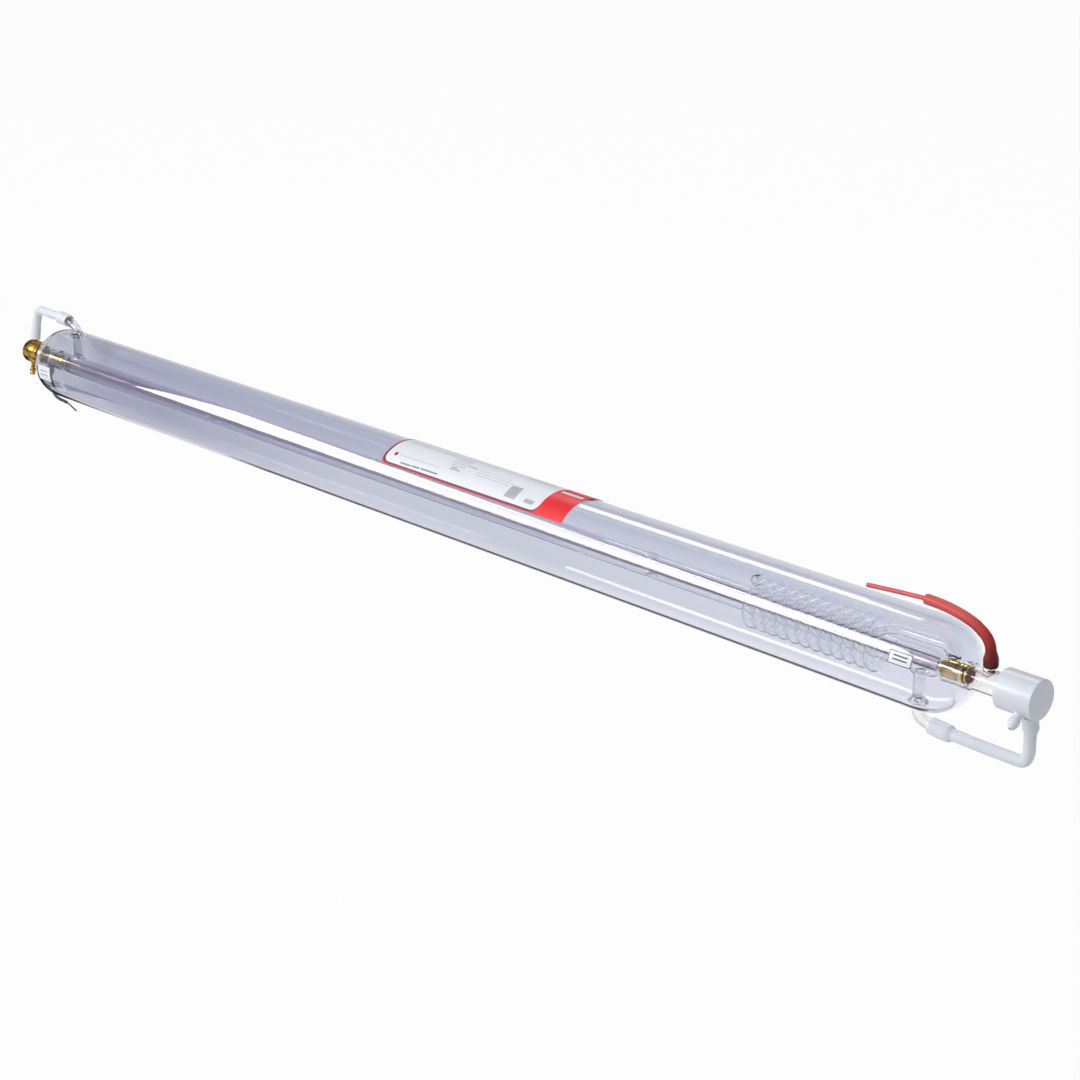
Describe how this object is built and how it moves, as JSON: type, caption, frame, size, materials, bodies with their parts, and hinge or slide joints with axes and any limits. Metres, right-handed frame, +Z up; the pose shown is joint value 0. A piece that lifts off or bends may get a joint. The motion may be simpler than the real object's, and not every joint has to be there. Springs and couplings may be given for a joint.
{
  "type": "sealed glass co2 laser tube",
  "caption": "Long clear glass laser tube with a water-jacketed bore, gas return coil, gold electrodes, brass output head, white mirror cap, silicone hoses and lead wires.",
  "frame": {"origin": "on the tube's axis, halfway along the straight part of the outer jacket, between the two cradles that hold it", "axes": "+X along the axis towards the high-voltage end with the white mirror cap, -X the way the beam leaves, +Z up through the outlet gooseneck"},
  "size_m": [1.4303, 0.0806, 0.1241],
  "materials": {
    "clear_glass": "clear, fire polished",
    "inner_glass": "clear, with a mauve cast along the bore",
    "seal_glass": "clear, yellowish where it is drawn in",
    "gold_electrode": "bright, gold coloured",
    "brass": "turned, bright",
    "pin_wire": "drawn wire",
    "white_plastic": "satin white",
    "mirror_metal": "polished",
    "window_amber": "polished, amber",
    "silicone_hose": "milky, translucent",
    "red_silicone": "smooth, dark red",
    "black_rubber": "smooth, black",
    "sticker_white": "printed film"
  },
  "bodies": {
    "root": {"outer_jacket": "clear_glass", "water_jacket": "clear_glass", "discharge_tube": "inner_glass", "gas_return_coil": "clear_glass", "anode_bulb": "clear_glass", "cathode_bulb": "clear_glass", "anode_electrode": "gold_electrode", "cathode_electrode": "gold_electrode", "anode_seal": "seal_glass", "cathode_seal": "seal_glass", "anode_pin": "pin_wire", "cathode_pin": "pin_wire", "inlet_elbow": "clear_glass", "outlet_gooseneck": "clear_glass", "rear_mirror": "mirror_metal", "rear_cap": "white_plastic", "output_head": "brass", "retaining_ring": "brass", "output_window": "window_amber", "upper_barb": "brass", "lower_barb": "brass", "inlet_hose": "silicone_hose", "outlet_hose": "silicone_hose", "hv_sleeve": "red_silicone", "hv_lead": "red_silicone", "earth_sleeve": "black_rubber", "earth_lead": "black_rubber", "rating_label": "sticker_white", "inlet_tag": "sticker_white", "outlet_tag": "sticker_white"}
  },
  "joints": []
}
